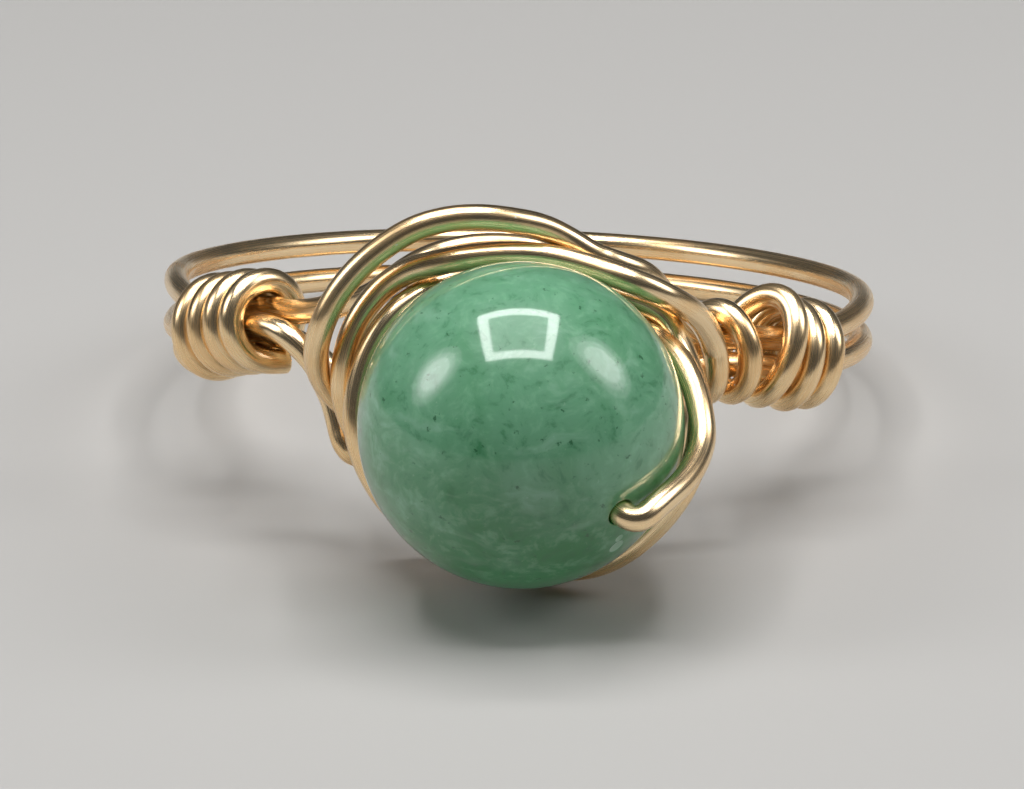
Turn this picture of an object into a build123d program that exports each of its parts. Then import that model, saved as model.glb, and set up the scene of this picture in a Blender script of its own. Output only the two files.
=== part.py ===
from build123d import *
import math
import os

# Driving sizes, in millimetres
finger_diameter = 17.3   # the hole that the finger goes through
wire_diameter = 0.64     # the round wire that the whole ring is wound from
bead_diameter = 8.0      # the round stone bead
bead_drop = 0.95         # the bead's centre lies this far below the middle of the band
hair = 0.02              # gap between wire and bead, wire and wire, and at a cut across the wire
hole_clearance = 0.06    # the bead's hole is this much wider than the wire

# Densities, in grams per cubic centimetre
wire_density = 8.5
stone_density = 2.65

# Direction of the bead's hole: its clock angle, and how far it leans towards the viewer
hole_clock = 123.5
hole_lean = 42.9

# Sizes that follow
pitch = wire_diameter + hair
band_radius = finger_diameter / 2 + wire_diameter / 2
core_radius = band_radius + hair
bead_reach = finger_diameter / 2 + bead_diameter / 2
on_bead = bead_diameter / 2 + wire_diameter / 2 + hair
hole_exit = bead_diameter / 2 + 0.85 * wire_diameter
bead_side = math.degrees(math.asin(on_bead / bead_reach))
pitch_angle = math.degrees(pitch / band_radius)

# How finely a round stretch is stepped, in degrees
swirl_step = 9
band_step = 12
coil_step = 36
turned_in = 5
bend_share = 0.49        # share of the shorter leg that a bend takes up

# The wire round the bead. Columns: clock angle (0 up, 90 right, seen from the front),
# back (along the bead's surface, behind its widest circle) and lift (off the bead),
# both in wire pitches.

# From the hole's mouth, curling up the right side and over behind the top
curl = [
    (112, -4.0, 0.12),
    (104.5, -2.65, 0.12),
    (99.5, -1.5, 0.2),
    (94, -0.5, 0.2),
    (87, 0.1, 0.12),
    (80, 0.6, 0.05),
    (72, 1.8, 0.05),
    (66, 2.4, 0.05),
    (61, 3.2, 0.05),
    (55, 4.25, 0.05),
    (45, 5.5, 0.05),
    (25, 5.5, 0.05),
    (0, 4.95, 0.05),
]
# Down the left side, close on the bead, and under it
left_hug = [
    (-30, 4.05, 0.05),
    (-46, 3.2, 0.05),
    (-61, 2.75, 0.05),
    (-80, 2.65, 0.05),
    (-96, 2.5, 0.05),
    (-112, 2.75, 0.05),
    (-135, 3.05, 0.05),
    (-160, 3.45, 0.1),
    (-180, 3.55, 0.05),
]
# Up the right side, behind the curl
rise = [
    (-200, 2.45, 0.05),
    (-214, 1.85, 0.05),
    (-227, 1.65, 0.05),
    (-240, 1.3, 0.05),
    (-255, 0.95, 0.1),
    (-270, 1.1, 0.2),
    (-280, 2.1, 0.4),
    (-288, 3.0, 0.65),
    (-296, 3.6, 0.9),
    (-304, 3.85, 1.1),
]
# Over the top once more, and out to the left side of the band
over_top = [
    (-312, 3.9, 0.75),
    (-320, 4.1, 0.3),
    (-328, 4.3, 0.2),
    (-338, 4.4, 0.4),
    (-350, 4.1, 0.65),
    (-365, 3.9, 0.75),
    (-380, 3.7, 0.95),
    (-390, 3.65, 1.15),
    (-401, 3.95, 1.5),
    (-410, 4.0, 1.65),
    (-418, 4.15, 2.1),
]
# The outermost turn, high over the top of the bead
outer_top = [
    (60, 5.05, 2.8),
    (53, 4.6, 2.15),
    (45, 4.0, 1.85),
    (34, 3.45, 1.05),
    (23, 3.55, 0.85),
    (15, 3.35, 1.0),
    (7, 2.9, 1.1),
    (-4, 2.3, 1.15),
    (-15, 1.9, 1.4),
    (-29, 1.8, 1.75),
    (-42, 1.8, 1.85),
    (-55, 1.8, 1.93),
]
# Down the left side, under the bead and up behind it to the right side of the band
outer_side = [
    (-68, 1.9, 1.88),
    (-73, 2.2, 1.9),
    (-77, 2.6, 2.02),
    (-81, 3.05, 2.1),
    (-85, 3.5, 2.08),
    (-88.5, 3.95, 1.95),
    (-93, 4.4, 1.75),
    (-98, 4.75, 1.4),
    (-106, 5.0, 1.05),
    (-120, 5.1, 0.85),
    (-135, 5.15, 1.05),
    (-150, 5.0, 1.2),
    (-165, 4.8, 1.2),
    (-180, 4.65, 0.95),
    (-195, 4.6, 0.95),
    (-210, 5.0, 1.25),
    (-228, 5.4, 1.55),
    (-242, 5.8, 1.65),
    (-256, 5.85, 1.75),
    (-268, 5.8, 2.1),
]
# From the hole's rear mouth, over behind the top, down the right side and under the bead
back_turn = [
    (-42, 5.05, 0.85),
    (-22, 5.25, 0.9),
    (0, 5.45, 1.0),
    (30, 5.5, 1.05),
    (45, 5.5, 1.2),
    (60, 5.0, 1.25),
    (75, 4.15, 0.75),
    (90, 3.35, 0.25),
    (110, 3.45, 0.25),
    (130, 3.8, 0.1),
    (150, 4.7, 0.05),
    (165, 5.25, 0.05),
    (180, 5.65, 0.05),
    (195, 5.45, 0.05),
    (210, 4.95, 0.05),
]
# Up the left side and over the top, in front of the other turns, to the right wrap
front_turn = [
    (225, 4.4, 0.1),
    (240, 4.05, 0.25),
    (252, 4.0, 0.65),
    (260, 3.85, 0.9),
    (266, 3.65, 1.0),
    (273, 3.3, 1.0),
    (281, 3.05, 1.0),
    (295, 3.0, 1.15),
    (309, 3.05, 1.15),
    (318, 2.95, 1.0),
    (328, 2.75, 0.5),
    (341, 2.6, 0.1),
    (354, 3.0, 0.05),
    (370, 3.05, 0.05),
    (382, 2.8, 0.05),
    (393, 2.3, 0.15),
    (405, 2.2, 0.65),
    (414, 2.6, 1.25),
    (421, 3.4, 2.05),
]
# The hook round the lower left of the turns, which are bundled there
hook = [
    (-96, 5.6, 2.95),
    (-103, 5.8, 2.6),
    (-108.5, 5.7, 2.35),
    (-113, 5.2, 2.15),
    (-109.5, 4.65, 2.2),
    (-105.5, 4.6, 2.37),
    (-101.5, 4.7, 2.55),
    (-97, 4.75, 2.68),
    (-92.5, 4.8, 2.91),
    (-88.5, 4.85, 3.36),
    (-83, 4.9, 4.06),
]

# The wires in the core of each wrap. Columns: along (round the band from the bead's side),
# out (away from the finger) and up (above the middle of the band), all in wire pitches.
left_upper = [
    (4.25, 0.15, 1.22),
    (5.4, 0, 1.26),
    (6.4, 0, 1.17),
    (7.3, 0, 0.99),
]
right_upper = [
    (7.2, 0, 0.45),
    (6.5, 0, 0.5),
    (5.4, 0, 0.6),
    (3.8, 0, 0.78),
    (2.6, 0, 0.86),
]
right_lower = [
    (2.0, 0, -0.24),
    (3.3, 0, -0.22),
    (5.2, 0, -0.41),
    (6.4, 0, -0.62),
    (7.2, 0, -0.74),
]
left_lower = [
    (7.2, 0, 0.0),
    (6.4, 0, 0.17),
    (5.4, 0, 0.26),
    (4.25, 0, 0.1),
    (3.05, -0.34, -0.75),
]
# Through the left wrap on its outer side, then round the core's far end into the first turn
left_lead = [
    (4.0, 1.0, 0.5),
    (5.2, 0.9, 0.76),
    (6.4, 0.9, 0.66),
    (7.4, 0.89, 0.47),
    (8.4, 0.88, 0.2),
    (9.4, 0.88, -0.02),
    (10.1, 1.15, -0.9),
    (10.25, 0, -1.75),
    (9.95, -1.1, -1.1),
]

# The turns of each wrap. Columns: angle round the core (0 outside, 90 on top), along, up and
# out of the turn's middle, its half width and half height, and how far its outside and its
# top lean away from the bead for each width and height; all lengths in wire pitches.
left_turns = [
    (1260, 9.22, 0.12, 0.33, 1.58, 1.62, -0.07, 0),
    (1080, 8.7, 0.12, 0.33, 1.6, 1.63, -0.03, 0),
    (720, 7.68, 0.4, 0.33, 1.58, 1.6, 0.04, 0),
    (360, 6.67, 0.63, 0.33, 1.58, 1.6, 0.12, 0),
    (0, 5.66, 0.78, 0.33, 1.62, 1.56, 0.21, 0),
    (-110, 5.32, 0.78, 0.33, 1.62, 1.56, 0.21, 0),
]
right_turns = [
    (20, 2.15, 0.3, 0, 1.41, 1.56, 0, 0),
    (-360, 3.66, 0.28, 0, 1.41, 1.56, 0, 0),
    (-540, 4.5, 0.3, 0.05, 1.5, 1.7, -0.1, 0.4),
    (-720, 5.5, 0.46, 0.15, 1.62, 1.92, -0.12, 0.45),
    (-900, 6.05, 0.1, 0.15, 1.62, 1.75, -0.2, 0.4),
    (-1080, 6.65, -0.13, 0.15, 1.62, 1.65, -0.25, 0.35),
    (-1440, 7.82, -0.2, 0.15, 1.62, 1.65, -0.3, 0.3),
    (-1670, 8.55, -0.22, 0.15, 1.62, 1.65, -0.3, 0.3),
]

# The bare band between the wraps. Columns: share of the way round from the right wrap
# to the left one, and the height of the upper and the lower wire in wire pitches.
band_from = 8.3          # where the bare band starts, in wire pitches from the bead's side
band_to = 8.6            # and where it ends on the left
band = [
    (0, 0.42, -0.78),
    (0.04, 0.48, -0.82),
    (0.14, 0.8, -0.8),
    (0.27, 0.8, -0.7),
    (0.51, 0.8, -0.7),
    (0.75, 0.83, -0.72),
    (0.86, 0.9, -0.86),
    (0.93, 0.76, -0.72),
    (0.97, 0.56, -0.48),
    (1, 0.66, -0.34),
]


def eased(rows, place):
    """The columns of the rows at a place between them, on a curve that passes through each row."""
    rows = sorted(rows)
    before = max(n for n in range(len(rows) - 1) if n == 0 or rows[n][0] <= place)
    low, high = rows[before], rows[before + 1]
    under = rows[max(before - 1, 0)]
    over = rows[min(before + 2, len(rows) - 1)]
    span = high[0] - low[0]
    t = (place - low[0]) / span
    values = []
    for column in range(1, len(low)):
        slope_low = span * (high[column] - under[column]) / (high[0] - under[0])
        slope_high = span * (over[column] - low[column]) / (over[0] - low[0])
        values.append(
            (2 * t**3 - 3 * t**2 + 1) * low[column]
            + (t**3 - 2 * t**2 + t) * slope_low
            + (3 * t**2 - 2 * t**3) * high[column]
            + (t**3 - t**2) * slope_high
        )
    return values


def stepped(first, last, step):
    """Even places from first to last, about a step apart."""
    count = max(1, round(abs(last - first) / step))
    return [first + (last - first) * n / count for n in range(count + 1)]


def round_bead(clock, back, lift, push=1):
    """A point by its clock angle round the bead, its place behind the widest circle and its lift."""
    reach = (on_bead + lift * pitch) * push
    lean = back * pitch / on_bead
    outward = reach * math.cos(lean)
    turned = math.radians(clock)
    return (
        outward * math.sin(turned),
        reach * math.sin(lean) - bead_reach,
        outward * math.cos(turned) - bead_drop,
    )


def round_finger(azimuth, radius, height):
    """A point by its angle round the finger, 0 at the bead and 90 on the right."""
    turned = math.radians(azimuth)
    return (radius * math.sin(turned), -radius * math.cos(turned), height)


def in_hole(distance):
    """A point on the axis of the bead's hole, measured from the bead's centre."""
    turned = math.radians(hole_clock)
    lean = math.radians(hole_lean)
    outward = distance * math.cos(lean)
    return (
        outward * math.sin(turned),
        -distance * math.sin(lean) - bead_reach,
        outward * math.cos(turned) - bead_drop,
    )


def swirl(rows):
    """Corners round the bead, pushed out a little so that the arcs between them keep their radius."""
    push = 1 / math.cos(math.radians(swirl_step / 2))
    places = stepped(rows[0][0], rows[-1][0], swirl_step)
    return [round_bead(place, *eased(rows, place), push) for place in places]


def core(side, rows):
    """Corners inside a wrap; side is 1 on the right and -1 on the left."""
    return [
        round_finger(side * (bead_side + along * pitch_angle), core_radius + out * pitch, up * pitch)
        for along, out, up in rows
    ]


def bare_band(column):
    """Corners of the upper (0) or lower (1) wire round the back of the finger, from right to left."""
    first = bead_side + band_from * pitch_angle
    last = 360 - bead_side - band_to * pitch_angle
    radius = band_radius / math.cos(math.radians(band_step / 2))
    corners = []
    for azimuth in stepped(first, last, band_step):
        height = eased(band, (azimuth - first) / (last - first))[column] * pitch
        corners.append(round_finger(azimuth, radius, height))
    return corners


def coil(side, rows):
    """Turns wound round the core, as an oval helix whose size and place are eased between the rows."""
    push = 1 / math.cos(math.radians(coil_step / 2))
    corners = []
    for angle in stepped(rows[0][0], rows[-1][0], coil_step):
        along, up, out, half_width, half_height, lean, slant = eased(rows, angle)
        width = half_width * math.cos(math.radians(angle))
        height = half_height * math.sin(math.radians(angle))
        place = along + lean * width + slant * height
        azimuth = side * (bead_side + place * pitch_angle)
        radius = band_radius + (out + width * push) * pitch
        corners.append(round_finger(azimuth, radius, (up + height * push) * pitch))
    return corners


def cut_apart(stretches):
    """The path of each stretch of one long wire, cut square across the leg to the next stretch."""
    paths = {name: list(corners) for name, corners in stretches.items()}
    names = list(stretches)
    for name, following in zip(names, names[1:]):
        end = Vector(*stretches[name][-1])
        start = Vector(*stretches[following][0])
        middle = (end + start) * 0.5
        half_gap = (start - end).normalized() * (hair / 2)
        paths[name].append(tuple(middle - half_gap))
        paths[following].insert(0, tuple(middle + half_gap))
    return paths


def wire(corners):
    """The round wire along its path of straight legs joined by tangent bends."""
    corners = [Vector(*corner) for corner in corners]
    radii = []
    for before, corner, after in zip(corners, corners[1:], corners[2:]):
        arriving = corner - before
        leaving = after - corner
        half_turn = math.radians(arriving.get_angle(leaving) / 2)
        leg = min(arriving.length, leaving.length)
        radii.append(bend_share * leg / math.tan(half_turn))
    path = FilletPolyline(*corners, radius=radii)
    section = Plane(origin=path @ 0, z_dir=path % 0) * Circle(wire_diameter / 2)
    return sweep(section, path=path)


def drilled_bead():
    """The round bead with its drilled hole."""
    centre = Vector(*in_hole(0))
    axis = Vector(*in_hole(1)) - centre
    drill = Cylinder((wire_diameter + hole_clearance) / 2, 2 * bead_diameter)
    ball = Sphere(bead_diameter / 2)
    return Plane(origin=centre, z_dir=axis) * (ball - drill)


def height_of_weight(paths, tilt, roll):
    """How high the centre of mass lies over the lowest point, at a tilt (front up) and a roll (right up)."""
    turned, rolled = math.radians(tilt), math.radians(roll)
    up = Vector(math.sin(rolled), -math.cos(rolled) * math.sin(turned), math.cos(rolled) * math.cos(turned))
    bead_centre = Vector(*in_hole(0))
    bead_mass = stone_density * math.pi * bead_diameter**3 / 6
    lowest = bead_centre.dot(up) - bead_diameter / 2
    mass = bead_mass
    moment = bead_mass * bead_centre.dot(up)
    for corners in paths:
        for before, corner, after in zip(corners, corners[1:], corners[2:]):
            before, corner, after = Vector(*before), Vector(*corner), Vector(*after)
            height = ((before + after) * 0.125 + corner * 0.75).dot(up)
            length = (after - before).length / 2
            share = wire_density * length * math.pi * wire_diameter**2 / 4
            mass += share
            moment += share * height
            lowest = min(lowest, height - wire_diameter / 2)
    return moment / mass - lowest


def settled(paths):
    """The tilt and roll at which the ring rests by itself, found by rocking it ever more finely."""
    tilt, roll, step = 10, 0, 4
    parts = (-1, -0.5, 0, 0.5, 1)
    while step > 0.01:
        tries = [(tilt + step * a, roll + step * b) for a in parts for b in parts]
        best = min(tries, key=lambda turns: height_of_weight(paths, *turns))
        if best == (tilt, roll):
            step = step / 2
        tilt, roll = best
    return tilt, roll


# One end of the wire, from the middle of the bead to the cut end of the left wrap
long_end = cut_apart({
    "bead_wire": [in_hole(hair / 2), in_hole(hole_exit)]
    + swirl(curl + left_hug + rise + over_top)
    + core(-1, left_upper),
    "band_upper": bare_band(0)[::-1],
    "swirl_outer": core(1, right_upper) + swirl(outer_top + outer_side) + core(1, right_lower),
    "band_lower": bare_band(1),
    "left_wrap": core(-1, left_lower)
    + [round_bead(*row) for row in hook]
    + core(-1, left_lead)
    + coil(-1, left_turns),
})
# The other end, from the middle of the bead to the cut end of the right wrap
right_coil = coil(1, right_turns)
short_end = cut_apart({
    "swirl_front": [in_hole(-hair / 2), in_hole(-hole_exit)]
    + swirl(back_turn + front_turn)
    + right_coil[:turned_in],
    "right_wrap": right_coil[turned_in:],
})
paths = {**long_end, **short_end}

# The pieces, tipped to the angle at which the ring rests
pieces = {"jade_bead": drilled_bead()}
for name, corners in paths.items():
    pieces[name] = wire(corners)
tilt, roll = settled(paths.values())
pieces = {name: Rot(Y=-roll) * Rot(X=-tilt) * piece for name, piece in pieces.items()}

# The origin goes to the middle of the footprint, on the floor
box = Compound(children=[Compound(piece.wrapped) for piece in pieces.values()]).bounding_box()
to_origin = Location((-box.center().X, -box.center().Y, -box.min.Z))

os.makedirs("parts", exist_ok=True)
for name, piece in pieces.items():
    export_step(to_origin * piece, f"parts/{name}.step")
print(f"tilt {tilt:.2f}, roll {roll:.2f}, size {box.size.X:.2f} x {box.size.Y:.2f} x {box.size.Z:.2f}")
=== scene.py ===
# %% [markdown]
# # A wire-wrapped bead ring
# A ring like this is two things: a drilled, polished stone bead and one length of round
# gold-coloured wire that is swirled round the bead, led twice round the finger and coiled
# on each shoulder. The solids of the ring are already built to size in millimetres. This
# notebook loads them, lays smooth wire surfaces over their paths, cuts a finer bead, and
# then gives stone and metal their finish and sets up the camera and the lights.

# %% Load the ring's solids
import math

import bpy
import numpy as np
from mathutils import Matrix


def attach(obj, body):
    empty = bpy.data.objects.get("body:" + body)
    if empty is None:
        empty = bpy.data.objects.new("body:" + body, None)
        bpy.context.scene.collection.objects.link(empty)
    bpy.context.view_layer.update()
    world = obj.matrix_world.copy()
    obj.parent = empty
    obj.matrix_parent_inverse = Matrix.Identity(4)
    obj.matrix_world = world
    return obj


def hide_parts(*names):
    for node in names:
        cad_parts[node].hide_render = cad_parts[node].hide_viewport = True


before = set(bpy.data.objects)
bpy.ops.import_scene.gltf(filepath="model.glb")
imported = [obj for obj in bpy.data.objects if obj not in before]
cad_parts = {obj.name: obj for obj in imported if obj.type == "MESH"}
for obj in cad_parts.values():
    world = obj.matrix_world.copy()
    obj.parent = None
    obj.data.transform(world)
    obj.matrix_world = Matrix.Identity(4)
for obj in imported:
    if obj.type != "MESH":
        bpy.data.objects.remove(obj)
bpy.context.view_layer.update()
print("solids:", sorted(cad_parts))

# %% [markdown]
# ## Sizes
# Everything is worked out in millimetres in the ring's own frame, where the finger goes
# through along Z, and only the finished points are moved to where the ring lies. The same
# few sizes drive the solids: the finger, the wire and the bead. A pitch is one wire and
# the hair of air next to it, and it is the natural unit for wire that lies beside wire.

# %% Sizes of the ring, in millimetres
# One millimetre in metres, which is Blender's unit.
MM = 0.001
finger_diameter = 17.3
wire_diameter = 0.64
bead_diameter = 8.0
# The bead's centre lies this far below the middle of the band.
bead_drop = 0.95
hair = 0.02
# The hole is this much wider than the wire. Its front mouth is at this clock angle, seen from
# the front, and leans this many degrees forward of the bead's widest circle.
hole_clearance = 0.06
hole_clock = 123.5
hole_lean = 42.9

wire_radius = wire_diameter / 2
bead_radius = bead_diameter / 2
pitch = wire_diameter + hair
band_radius = finger_diameter / 2 + wire_radius
core_radius = band_radius + hair
# From the finger's axis to the bead's centre, and from there to the middle of a wire on the
# stone and to the wire's first corner outside the hole.
bead_reach = finger_diameter / 2 + bead_radius
on_bead = bead_radius + wire_radius + hair
hole_exit = bead_radius + 0.85 * wire_diameter
# In degrees round the finger: the bead's edge, and one pitch.
bead_side = math.degrees(math.asin(on_bead / bead_reach))
pitch_angle = math.degrees(pitch / band_radius)
print(f"pitch {pitch:.2f} mm, band radius {band_radius:.2f} mm, bead {bead_reach:.2f} mm in front")

# %% [markdown]
# ## Where a point of the wire lies
# Wire on a bead is easiest to describe by what it does there: its clock angle seen from
# the front, how far behind the bead's widest circle it runs, and how far it stands off
# the stone. Wire in the band is described by its place along the band, out from the
# finger and up. Each helper below turns such words into points for a whole array at once.

# %% Points round the bead and round the finger
def round_bead(clock, back, lift, push=1.0):
    """Points on a sphere: clock angle is the longitude, back/on_bead the latitude, lift the height."""
    reach = (on_bead + np.asarray(lift) * pitch) * push
    lean = np.asarray(back) * pitch / on_bead
    turned = np.radians(clock)
    outward = reach * np.cos(lean)
    return np.stack([
        outward * np.sin(turned),
        reach * np.sin(lean) - bead_reach,
        outward * np.cos(turned) - bead_drop,
    ], axis=-1)


def round_finger(azimuth, radius, height):
    """Points on a cylinder round the finger: azimuth 0 is at the bead and 90 on the right."""
    turned = np.radians(azimuth)
    level = np.broadcast_to(height, np.shape(turned))
    return np.stack([radius * np.sin(turned), -radius * np.cos(turned), level], axis=-1)


def in_hole(*distances):
    """Points on the straight axis of the bead's hole, by their distance from the bead's centre."""
    turned, lean = math.radians(hole_clock), math.radians(hole_lean)
    along = np.array(distances, float)
    outward = along * math.cos(lean)
    return np.stack([
        outward * math.sin(turned),
        -along * math.sin(lean) - bead_reach,
        outward * math.cos(turned) - bead_drop,
    ], axis=-1)


print("the wire leaves the front of the hole at", in_hole(hole_exit).round(2)[0], "mm")

# %% [markdown]
# ## The turns round the bead
# A wire artist winds by eye, so no formula gives these turns. They are drawn as short
# tables, one row where the wire changes its course, and a smooth curve is passed
# through the rows. Lengths are in wire pitches: two wires a pitch apart all but touch.

# %% Rows of the turns: clock angle, back, lift
curl = [
    (112, -4.0, 0.12), (104.5, -2.65, 0.12), (99.5, -1.5, 0.2), (94, -0.5, 0.2),
    (87, 0.1, 0.12), (80, 0.6, 0.05), (72, 1.8, 0.05), (66, 2.4, 0.05), (61, 3.2, 0.05),
    (55, 4.25, 0.05), (45, 5.5, 0.05), (25, 5.5, 0.05), (0, 4.95, 0.05),
]
left_hug = [
    (-30, 4.05, 0.05), (-46, 3.2, 0.05), (-61, 2.75, 0.05), (-80, 2.65, 0.05),
    (-96, 2.5, 0.05), (-112, 2.75, 0.05), (-135, 3.05, 0.05), (-160, 3.45, 0.1),
    (-180, 3.55, 0.05),
]
rise = [
    (-200, 2.45, 0.05), (-214, 1.85, 0.05), (-227, 1.65, 0.05), (-240, 1.3, 0.05),
    (-255, 0.95, 0.1), (-270, 1.1, 0.2), (-280, 2.1, 0.4), (-288, 3.0, 0.65),
    (-296, 3.6, 0.9), (-304, 3.85, 1.1),
]
over_top = [
    (-312, 3.9, 0.75), (-320, 4.1, 0.3), (-328, 4.3, 0.2), (-338, 4.4, 0.4),
    (-350, 4.1, 0.65), (-365, 3.9, 0.75), (-380, 3.7, 0.95), (-390, 3.65, 1.15),
    (-401, 3.95, 1.5), (-410, 4.0, 1.65), (-418, 4.15, 2.1),
]
outer_top = [
    (60, 5.05, 2.8), (53, 4.6, 2.15), (45, 4.0, 1.85), (34, 3.45, 1.05), (23, 3.55, 0.85),
    (15, 3.35, 1.0), (7, 2.9, 1.1), (-4, 2.3, 1.15), (-15, 1.9, 1.4), (-29, 1.8, 1.75),
    (-42, 1.8, 1.85), (-55, 1.8, 1.93),
]
outer_side = [
    (-68, 1.9, 1.88), (-73, 2.2, 1.9), (-77, 2.6, 2.02), (-81, 3.05, 2.1), (-85, 3.5, 2.08),
    (-88.5, 3.95, 1.95), (-93, 4.4, 1.75), (-98, 4.75, 1.4), (-106, 5.0, 1.05),
    (-120, 5.1, 0.85), (-135, 5.15, 1.05), (-150, 5.0, 1.2), (-165, 4.8, 1.2),
    (-180, 4.65, 0.95), (-195, 4.6, 0.95), (-210, 5.0, 1.25), (-228, 5.4, 1.55),
    (-242, 5.8, 1.65), (-256, 5.85, 1.75), (-268, 5.8, 2.1),
]
back_turn = [
    (-42, 5.05, 0.85), (-22, 5.25, 0.9), (0, 5.45, 1.0), (30, 5.5, 1.05), (45, 5.5, 1.2),
    (60, 5.0, 1.25), (75, 4.15, 0.75), (90, 3.35, 0.25), (110, 3.45, 0.25), (130, 3.8, 0.1),
    (150, 4.7, 0.05), (165, 5.25, 0.05), (180, 5.65, 0.05), (195, 5.45, 0.05),
    (210, 4.95, 0.05),
]
front_turn = [
    (225, 4.4, 0.1), (240, 4.05, 0.25), (252, 4.0, 0.65), (260, 3.85, 0.9),
    (266, 3.65, 1.0), (273, 3.3, 1.0), (281, 3.05, 1.0), (295, 3.0, 1.15),
    (309, 3.05, 1.15), (318, 2.95, 1.0), (328, 2.75, 0.5), (341, 2.6, 0.1),
    (354, 3.0, 0.05), (370, 3.05, 0.05), (382, 2.8, 0.05), (393, 2.3, 0.15),
    (405, 2.2, 0.65), (414, 2.6, 1.25), (421, 3.4, 2.05),
]
hook = [
    (-96, 5.6, 2.95), (-103, 5.8, 2.6), (-108.5, 5.7, 2.35), (-113, 5.2, 2.15),
    (-109.5, 4.65, 2.2), (-105.5, 4.6, 2.37), (-101.5, 4.7, 2.55), (-97, 4.75, 2.68),
    (-92.5, 4.8, 2.91), (-88.5, 4.85, 3.36), (-83, 4.9, 4.06),
]
turns = [curl, left_hug, rise, over_top, outer_top, outer_side, back_turn, front_turn, hook]
print("rows of the turns:", sum(len(rows) for rows in turns))

# %% [markdown]
# ## The band and the cores of the wraps
# Round the back of the finger two wires run side by side. Under each wrap they draw together
# on their way to the bead, and these rows say how. The column along, and the two ends of the
# bare band, count pitches from the edge of the bead.

# %% Rows of the cores: along, out, up, and of the bare band: share, upper, lower
left_upper = [
    (4.25, 0.15, 1.22), (5.4, 0, 1.26), (6.4, 0, 1.17), (7.3, 0, 0.99),
]
right_upper = [
    (7.2, 0, 0.45), (6.5, 0, 0.5), (5.4, 0, 0.6), (3.8, 0, 0.78), (2.6, 0, 0.86),
]
right_lower = [
    (2.0, 0, -0.24), (3.3, 0, -0.22), (5.2, 0, -0.41), (6.4, 0, -0.62), (7.2, 0, -0.74),
]
left_lower = [
    (7.2, 0, 0.0), (6.4, 0, 0.17), (5.4, 0, 0.26), (4.25, 0, 0.1), (3.05, -0.34, -0.75),
]
left_lead = [
    (4.0, 1.0, 0.5), (5.2, 0.9, 0.76), (6.4, 0.9, 0.66), (7.4, 0.89, 0.47),
    (8.4, 0.88, 0.2), (9.4, 0.88, -0.02), (10.1, 1.15, -0.9), (10.25, 0, -1.75),
    (9.95, -1.1, -1.1),
]
band_from = 8.3
band_to = 8.6
band = [
    (0, 0.42, -0.78), (0.04, 0.48, -0.82), (0.14, 0.8, -0.8), (0.27, 0.8, -0.7),
    (0.51, 0.8, -0.7), (0.75, 0.83, -0.72), (0.86, 0.9, -0.86), (0.93, 0.76, -0.72),
    (0.97, 0.56, -0.48), (1, 0.66, -0.34),
]
print("the bare band starts", band_from, "pitches from the bead's side")

# %% [markdown]
# ## The turns of the wraps
# A wrap is wound by hand, so no turn is quite like the next: they bulge, sink and lean. A
# row is written for every place where the winding changes. The angle goes round the core,
# 0 on the outside and 90 on top.

# %% Rows of the wraps: angle, along, up, out, half width, half height, lean, slant
left_turns = [
    (1260, 9.22, 0.12, 0.33, 1.58, 1.62, -0.07, 0),
    (1080, 8.7, 0.12, 0.33, 1.6, 1.63, -0.03, 0),
    (720, 7.68, 0.4, 0.33, 1.58, 1.6, 0.04, 0), (360, 6.67, 0.63, 0.33, 1.58, 1.6, 0.12, 0),
    (0, 5.66, 0.78, 0.33, 1.62, 1.56, 0.21, 0),
    (-110, 5.32, 0.78, 0.33, 1.62, 1.56, 0.21, 0),
]
right_turns = [
    (20, 2.15, 0.3, 0, 1.41, 1.56, 0, 0), (-360, 3.66, 0.28, 0, 1.41, 1.56, 0, 0),
    (-540, 4.5, 0.3, 0.05, 1.5, 1.7, -0.1, 0.4),
    (-720, 5.5, 0.46, 0.15, 1.62, 1.92, -0.12, 0.45),
    (-900, 6.05, 0.1, 0.15, 1.62, 1.75, -0.2, 0.4),
    (-1080, 6.65, -0.13, 0.15, 1.62, 1.65, -0.25, 0.35),
    (-1440, 7.82, -0.2, 0.15, 1.62, 1.65, -0.3, 0.3),
    (-1670, 8.55, -0.22, 0.15, 1.62, 1.65, -0.3, 0.3),
]
print("turns of the left wrap:", round((left_turns[0][0] - left_turns[-1][0]) / 360, 1))

# %% [markdown]
# ## From rows to a path
# The rows are joined by a curve that passes through each of them with a steady slope. The
# wire is then bent like a real one: straight legs between corners, each corner rounded
# from the middle of one leg to the middle of the next. Because neighbouring bends meet on
# a leg, the path has no kinks, however few rows there are.

# %% Corners and smooth paths
# Degrees from one corner to the next, round the bead and round the finger.
swirl_step = 9
band_step = 12


def eased(rows, places):
    """Columns at given places: a cubic on each span, its end slopes those of the neighbours' chord."""
    rows = np.array(sorted(rows), float)
    x, y = rows[:, 0], rows[:, 1:]
    slope = np.empty_like(y)
    slope[1:-1] = (y[2:] - y[:-2]) / (x[2:] - x[:-2])[:, None]
    slope[0] = (y[1] - y[0]) / (x[1] - x[0])
    slope[-1] = (y[-1] - y[-2]) / (x[-1] - x[-2])
    low = np.clip(np.searchsorted(x, places, side="right") - 1, 0, len(x) - 2)
    span = (x[low + 1] - x[low])[:, None]
    t = (np.asarray(places) - x[low])[:, None] / span
    return (
        (2 * t**3 - 3 * t**2 + 1) * y[low] + (t**3 - 2 * t**2 + t) * span * slope[low]
        + (3 * t**2 - 2 * t**3) * y[low + 1] + (t**3 - t**2) * span * slope[low + 1]
    )


def stepped(first, last, step):
    """Even places from first to last, about a step apart."""
    return np.linspace(first, last, max(1, round(abs(last - first) / step)) + 1)


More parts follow.
